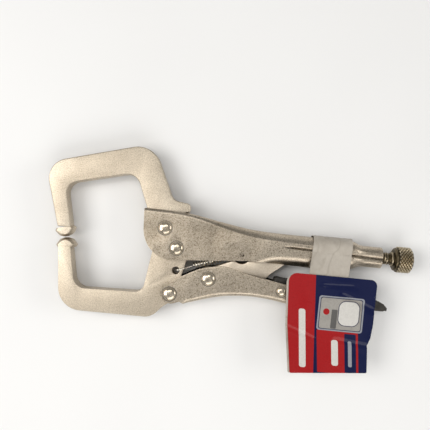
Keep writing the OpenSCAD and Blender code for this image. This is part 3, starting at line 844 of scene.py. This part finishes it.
def jawSpring():
    ax, ay = spring["anchor"]
    ex, ey = spring["eye"]
    total = math.dist(spring["anchor"], spring["eye"])
    lean = math.atan2(ay - ey, ax - ex)
    coilR = spring["outer"] - spring["wire"]
    first, last = 0.27 * total, total - 3.5
    face = 4.1
    path = [(0.4, 0, -1.5), (0.4, 0, face - 0.9), (0.55, 0, face - 0.25), (0.9, 0, face - 0.03),
            (1.4, 0, face), (3.6, 0, face), (4.6, 0, face - 0.12), (first - 1.4, 0, coilR + 0.45),
            (first - 0.5, 0, coilR + 0.06)]
    sides = 28  # points in one turn
    steps = spring["turns"] * sides
    for i in range(steps + 1):
        t = 2 * math.pi * i / sides
        path.append((first + (last - first) * i / steps, coilR * math.sin(t), coilR * math.cos(t)))
    eyeR = 1.1 + spring["wire"] + 0.05
    for i in range(25):
        t = math.radians(115 - 240 * i / 24)
        path.append((total + eyeR * math.cos(t), eyeR * math.sin(t), 0))
    data = bpy.data.meshes.new("springPath")
    c, s = math.cos(lean), math.sin(lean)
    verts = [Vector((ex + x * c - y * s, ey + x * s + y * c, midZ + z)) * mm for x, y, z in path]
    data.from_pydata(verts, [(i, i + 1) for i in range(len(verts) - 1)], [])
    coil = runTree("jawSpring", wireTree(), {
        "Wire radius": spring["wire"] * mm, "Sides": 10, "Material": springFinish}, data)
    finishPiece(coil, springFinish, None, ["jaw_spring"], 60)
    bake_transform(coil)


jawSpring()
print("spring made")


screw = {"tip": 61.8, "collar": 101.1, "collarRadius": 3.35, "core": 2.5, "ridge": 0.43,
         "pitch": 1.0, "spigotEnd": 110.5}
knob = {"start": 103.6, "length": 8.6, "radius": 6.2, "grooves": 0.62, "around": 20, "along": 9, "neck": 1.5}


def alongX(x0):
    return lambda a, b, h: (x0 + h, screwY + a, midZ + b)


def adjustingScrew():
    length = screw["collar"] - screw["tip"]
    r = screw["collarRadius"]
    profile = [(1.7, 0), (screw["core"], 0.9), (screw["core"], length + 1.2), (r - 0.3, length + 1.2),
               (r, length + 1.5), (r, length + 2.1), (r - 0.3, length + 2.4), (2.2, length + 2.4),
               (2.2, screw["spigotEnd"] - screw["tip"])]
    core = latheSolid("adjustingScrew", profile, 64, alongX(screw["tip"]))
    ridge = runTree("ridge", threadTree(), {
        "Core radius": (screw["core"] + 0.02) * mm, "Pitch": screw["pitch"] * mm, "Turns": length - 0.6,
        "Ridge": screw["ridge"] * mm, "Material": screwFinish})
    place = Matrix.Translation(Vector((screw["tip"] + 1.0, screwY, midZ)) * mm)
    ridge.data.transform(place @ Matrix.Rotation(math.radians(90), 4, "Y"))
    joinInto(core, [ridge])
    finishPiece(core, screwFinish, "screw_body", ["adjusting_screw"], 25)


def adjustingKnob():
    r, n = knob["radius"], knob["length"]
    neck = knob["neck"]
    valley = r - knob["grooves"]
    profile = [(2.25, 0), (r - 1.5, 0), (r - 0.7, 0.5), (r - 0.7, neck - 0.5), (r - 1.4, neck - 0.35),
               (r - 1.4, neck), (valley, neck + 0.25), (valley, n - 0.9), (r - 0.9, n - 0.35), (r - 1.5, n),
               (1.8, n), (1.4, n - 0.3), (0.4, n - 0.45)]
    body = latheSolid("adjustingKnob", profile, 96, alongX(knob["start"]))
    soften(body, 0.12, 2)
    grip = n - neck - 0.2 - 0.9
    studs = runTree("studs", knurlTree(), {
        "Radius": (valley - 0.02) * mm, "Length": (grip - 0.6) * mm, "Around": knob["around"],
        "Along": knob["along"], "Height": knob["grooves"] * mm, "Material": screwFinish})
    middle = knob["start"] + neck + 0.2 + grip / 2
    studs.data.transform(Matrix.Translation(Vector((middle, screwY, midZ)) * mm))
    joinInto(body, [studs])
    finishPiece(body, knobFinish, "knob_body", ["adjusting_knob"], 20)


adjustingScrew()
adjustingKnob()
print("screw and knob made")


tag = {"loopX": 63.5, "loopWidth": 18.5, "paper": 0.33, "top": -6.0, "level": 15.08, "wave": 0.9, "gap": 0.4,
       "band": 0.2, "flag": 0.25,
       "folds": [((54, -31), (68, -36), 0.9, 0.45), ((70, -10.5), (84, -10), 0.8, 0.3),
                 ((80, -14.5), (94, -20), 1.1, 0.5), ((78, -35.5), (93, -37), 0.9, 0.45)],
       "slant": 0.075}


def paperPulp():
    material, tree, shader, coords = newMaterial("paperFinish")
    fibre = noiseNode(tree, coords, 700, 5, 0.7)
    mottle = noiseNode(tree, coords, 60, 3, 0.5)
    fold = noiseNode(tree, coords, 70, 2, 0.5, (1, 0.5, 1))
    crease = noiseNode(tree, coords, 150, 4, 0.6, (1, 0.35, 1))
    white = (1, 1, 1)
    tone = rampNode(tree, mottle, [(0.3, (0.38, 0.34, 0.285)), (0.7, (0.54, 0.495, 0.43))])
    speck = rampNode(tree, fibre, [(0.3, (0.93, 0.92, 0.91)), (0.55, white)])
    # painted shade: thin darker lines where wrinkles of the paper would be in shade
    creaseShadeLines = rampNode(tree, fold, [(0.455, white), (0.475, (0.82, 0.81, 0.79)), (0.495, white),
                                  (0.56, white), (0.575, (0.86, 0.85, 0.83)), (0.59, white)])
    creaseShaded = mixColours(tree, 1.0, tone, creaseShadeLines, "MULTIPLY")
    feed(tree, shader, {"Base Color": mixColours(tree, 1.0, creaseShaded, speck, "MULTIPLY"),
                        "Roughness": rangeNode(tree, fibre, 0.42, 0.6),
                        "Normal": bumpNode(tree, crease, 1.2)})
    return material


paperFinish = paperPulp()


def printedCard():
    material, tree, shader, coords = newMaterial("cardFinish")
    grain = noiseNode(tree, coords, 1400, 3, 0.6)
    worn = noiseNode(tree, coords, 90, 4, 0.6)
    crease = noiseNode(tree, coords, 60, 3, 0.55)
    place = addNode(tree, "ShaderNodeSeparateXYZ", {0: coords})
    x, y = place.outputs[0], place.outputs[1]

    def calc(operation, *values):
        return mathNode(tree, operation, *values)

    def edgeStep(value, width=0.00012):  # 1 below zero, 0 above it
        over = calc("MAXIMUM", 0.0, calc("DIVIDE", value, width))
        return calc("SUBTRACT", 1.0, calc("SMOOTH_MIN", 1.0, over, 0.05))

    def roundedBox(x0, y0, x1, y1, radius, skew=0.0):  # in millimetres
        cx, cy = (x0 + x1) / 2 * mm, (y0 + y1) / 2 * mm
        dy = calc("SUBTRACT", y, cy)
        dx = calc("SUBTRACT", x, calc("ADD", cx, calc("MULTIPLY", dy, skew)))
        qx = calc("MAXIMUM", calc("SUBTRACT", calc("ABSOLUTE", dx), ((x1 - x0) / 2 - radius) * mm), 0.0)
        qy = calc("MAXIMUM", calc("SUBTRACT", calc("ABSOLUTE", dy), ((y1 - y0) / 2 - radius) * mm), 0.0)
        away = calc("SQRT", calc("ADD", calc("MULTIPLY", qx, qx), calc("MULTIPLY", qy, qy)))
        return edgeStep(calc("SUBTRACT", away, radius * mm))

    red, navy, grey, white = (0.36, 0.01, 0.012), (0.004, 0.008, 0.05), (0.3, 0.31, 0.34), (0.66, 0.64, 0.6)
    dark = (0.12, 0.115, 0.11)
    redPart = edgeStep(calc("SUBTRACT", x, calc("MULTIPLY_ADD", y, -0.065, 0.0656)))
    colour = mixColours(tree, redPart, navy, red)
    picture = rampNode(tree, worn, [(0.35, (0.27, 0.25, 0.23)), (0.6, (0.36, 0.34, 0.31))])
    for x0, y0, x1, y1, radius, skew, inkAndShade in [
            (69.8, -51.0, 89.0, -31.4, 0.4, -0.11, red), (82.7, -50.2, 88.0, -32.2, 0.4, -0.11, navy),
            (76.6, -47.4, 79.6, -35.6, 1.0, -0.11, white), (84.4, -47.4, 86.0, -35.6, 0.6, -0.11, grey),
            (60.9, -49.4, 63.9, -22.4, 1.0, -0.1, white),
            (68.6, -31.3, 89.8, -15.3, 1.2, 0.01, grey), (69.3, -30.7, 89.1, -15.9, 1.0, 0.01, navy),
            (69.6, -30.4, 88.8, -16.2, 0.9, 0.01, picture), (78.0, -28.6, 87.9, -17.0, 3.2, 0.01, navy),
            (78.3, -28.3, 87.6, -17.3, 3.0, 0.01, white), (74.9, -30.2, 77.5, -21.4, 0.4, 0.01, dark),
            (71.0, -24.0, 73.8, -21.2, 1.35, 0, red)]:
        colour = mixColours(tree, roundedBox(x0, y0, x1, y1, radius, skew), colour, inkAndShade)
    fade = rampNode(tree, grain, [(0.25, (0.86, 0.86, 0.86)), (0.6, (1, 1, 1))])
    feed(tree, shader, {"Base Color": mixColours(tree, 1.0, colour, fade, "MULTIPLY"),
                        "Specular IOR Level": 0.1, "Coat Weight": 0.35, "Coat Roughness": 0.08,
                        "Roughness": rangeNode(tree, worn, 0.24, 0.42),
                        "Normal": bumpNode(tree, crease, 1.1)})
    return material


cardFinish = printedCard()


def cardWave(x, y):  # how far the leaf dips below its highest level
    u, v = (x - 74) / 20, (y + 30) / 23
    ripple = 0.5 - 0.5 * math.sin(3.1 * u + 1.7 * v + 0.6) * math.cos(1.4 * v - 0.8)
    buckle = 0.5 * math.exp(-((x - 66 - 2.5 * v) / 2.2) ** 2) * ease(v, -1.2, 0.4)
    low = ease(-y, 24, 50) * (0.5 + 0.5 * math.cos(2.4 * u + 0.5))
    folds = 0
    for (ax, ay), (bx, by), width, depth in tag["folds"]:
        length = math.dist((ax, ay), (bx, by))
        along = ((x - ax) * (bx - ax) + (y - ay) * (by - ay)) / length
        across = ((x - ax) * (by - ay) - (y - ay) * (bx - ax)) / length
        reach = ease(along, -3, 1) * (1 - ease(along, length - 1, length + 3))
        folds += depth * reach * math.exp(-(across / width) ** 2)
    return tag["wave"] * (0.5 * ripple + 0.4 * buckle + 0.4 * low) + folds


def tagLeaf(name, shift, trim, drop, material, node):
    x = tag["loopX"]
    high = tag["top"] - trim
    outline = roundOutline([(x - 10, high, 4), (x + 31.5, high, 3), (x + 31.2, -27, 10), (x + 30.5, -33.0, 3),
                            (x + 29.3, -36.4, 3), (x + 30.3, -49.6, 0.8), (x - 5.4, -52.8, 0.8),
                            (x - 8.6, -30, 30)], 6)
    outline = [(p[0] + shift, p[1]) for p in outline]
    turned = [(y, px) for px, y in outline]
    bottom, top = min(turned)[0] + 0.02, max(turned)[0] - 0.02

    def rowEnd(side, t):  # point of one side edge, a share t of the way down to the slanted lower edge
        foot = bottom if side == 0 else bottom + 3.2
        y = top + (foot - top) * t
        return spanAt(turned, y)[side], y

    rows, columns = 100, 90
    verts = []
    for j in range(rows + 1):
        t = 0.5 - 0.5 * math.cos(math.pi * j / rows)
        (x0, y0), (x1, y1) = rowEnd(0, t), rowEnd(1, t)
        for i in range(columns + 1):
            px, py = x0 + (x1 - x0) * i / columns, y0 + (y1 - y0) * i / columns
            verts.append((px, py, tag["level"] - drop - cardWave(px, py)))
    leaf = meshObject(name, verts, gridFaces(rows + 1, columns + 1))
    faceUp(leaf)
    thicken(leaf, tag["paper"], 1)
    finishPiece(leaf, material, "frame_body", [node], 50)


def loopBand(x0, x1, columns, half):  # closed paper band round the handle
    low, high = -3.5, 11.75
    ring = roundOutline([(low, -half, 4.65), (low, half, 4.65), (high, half, 5.25), (high, -half, 5.25)], 6)
    ring = evenPoints(ring + [ring[0]], 97)[:-1]
    verts = []
    for i in range(columns):
        x = x0 + (x1 - x0) * i / (columns - 1)
        for k, (y, z) in enumerate(ring):
            ripple = 0.07 * (1 + math.sin(x * 0.9 + k * 0.35)) + 0.05 * (1 + math.sin(x * 2.1 - k * 0.21))
            ripple += 0.16 * math.exp(-((x - 75 - 0.9 * y) / 0.7) ** 2)
            out = unitXY((y - 4.2, z))
            verts.append((x + tag["slant"] * (y - 2), y + out[0] * ripple, midZ + z + out[1] * ripple))
    band = meshObject("tagLoop", verts, gridFaces(columns, len(ring), True))
    thicken(band, tag["band"], 0)
    return band


def loopFlag(x0, x1, columns, half):  # strip from the band down under the printed leaf
    steps, sunk, start = 20, 0.38, 5.5
    verts = []
    for i in range(columns):
        x = x0 + (x1 - x0) * i / (columns - 1)
        for j in range(steps + 1):
            t = j / steps
            y = start + (tag["top"] - 1.5 - start) * t
            px = x + tag["slant"] * (y - 2)
            under = tag["level"] - cardWave(px, y) - sunk
            crinkle = (0.12 * math.sin(x * 0.8 + 4 * t) + 0.14 * math.exp(-((x - 75 - 0.9 * y) / 0.8) ** 2)
                       + 0.22 * math.exp(-((x - 66 + 1.2 * y) / 0.9) ** 2)) * (1 - ease(t, 0.6, 0.8))
            level = midZ + half - sunk + 0.5 * ease(t, 0, 0.16)
            verts.append((px, y, level + (under - level) * ease(t, 0.1, 0.75) + crinkle * ease(t, 0, 0.16)))
    faces = [[a, d, c, b] for a, b, c, d in gridFaces(columns, steps + 1)]
    flag = meshObject("flag", verts, faces)
    faceUp(flag)
    thicken(flag, tag["flag"], 1)
    return flag


def tagLoop():
    strip = (tag["loopX"], tag["loopX"] + tag["loopWidth"], 25, outerHalf + 0.25)
    band = loopBand(*strip)
    joinInto(band, [loopFlag(*strip)])
    finishPiece(band, paperFinish, "frame_body", ["tag_loop"], 50)


tagLeaf("tagCard", 0, 0, 0, cardFinish, "tag_card")
tagLeaf("tagBacking", -0.9, 0.6, tag["gap"], paperFinish, "tag_backing")
tagLoop()
print("tag made")


def paleFloor():
    material, tree, shader, coords = newMaterial("floorFinish")
    cloud = noiseNode(tree, coords, 6, 2)
    haze = rampNode(tree, cloud, [(0.3, (0.86, 0.86, 0.855)), (0.7, (0.9, 0.9, 0.895))])
    feed(tree, shader, {"Base Color": haze, "Roughness": 0.75})
    reach = 3000
    corners = [(-reach, -reach, 0), (reach, -reach, 0), (reach, reach, 0), (-reach, reach, 0)]
    floor = meshObject("floor", corners, [[0, 1, 2, 3]])
    faceUp(floor)
    floor.data.materials.append(material)


paleFloor()

# place, target, size and power of each light
studio = {"world": 0.3, "lights": {
    "keyLight": ((-0.5, 0.0, 0.6), (0.01, 0, 0), (0.5, 0.4), 3.3),
    "stripLight": ((-0.06, 0.2, 0.8), (0.01, 0, 0), (0.5, 0.1), 0.8),
    "glareLight": ((0.17, -0.07, 0.9), (0.05, 0, 0), (0.16, 0.5), 0.07),
    "frontLight": ((0.2, -0.6, 0.6), (0.02, 0, 0), (0.8, 0.5), 2.4),
    "sideLight": ((0.75, 0.1, 0.4), (0, 0, 0), (0.4, 0.3), 1.6)}}


def softLight(name, place, target, size, power):
    lamp = bpy.data.lights.new(name, "AREA")
    lamp.shape = "RECTANGLE"
    lamp.size, lamp.size_y = size
    lamp.energy = power
    lamp.color = (1, 0.98, 0.95)
    thing = placeObject(name, lamp)
    thing.location = place
    thing.rotation_euler = (Vector(target) - Vector(place)).to_track_quat("-Z", "Y").to_euler()


for lightName, values in studio["lights"].items():
    softLight(lightName, *values)
world = bpy.data.worlds.new("studio")
bpy.context.scene.world = world
world.use_nodes = True
world.node_tree.nodes["Background"].inputs[0].default_value = (0.98, 0.99, 1.0, 1)
world.node_tree.nodes["Background"].inputs[1].default_value = studio["world"]

view = {"lens": 44.4, "sensor": 36, "place": (0.01656, 0.01727, 0.2622), "turn": 5.4}
camera = bpy.data.cameras.new("camera")
camera.lens = view["lens"]
camera.sensor_width = view["sensor"]
cameraObject = placeObject("camera", camera)
cameraObject.location = view["place"]
cameraObject.rotation_euler = (0, 0, math.radians(view["turn"]))
bpy.context.scene.camera = cameraObject
bpy.context.scene.view_settings.view_transform = "Standard"
print("studio set")
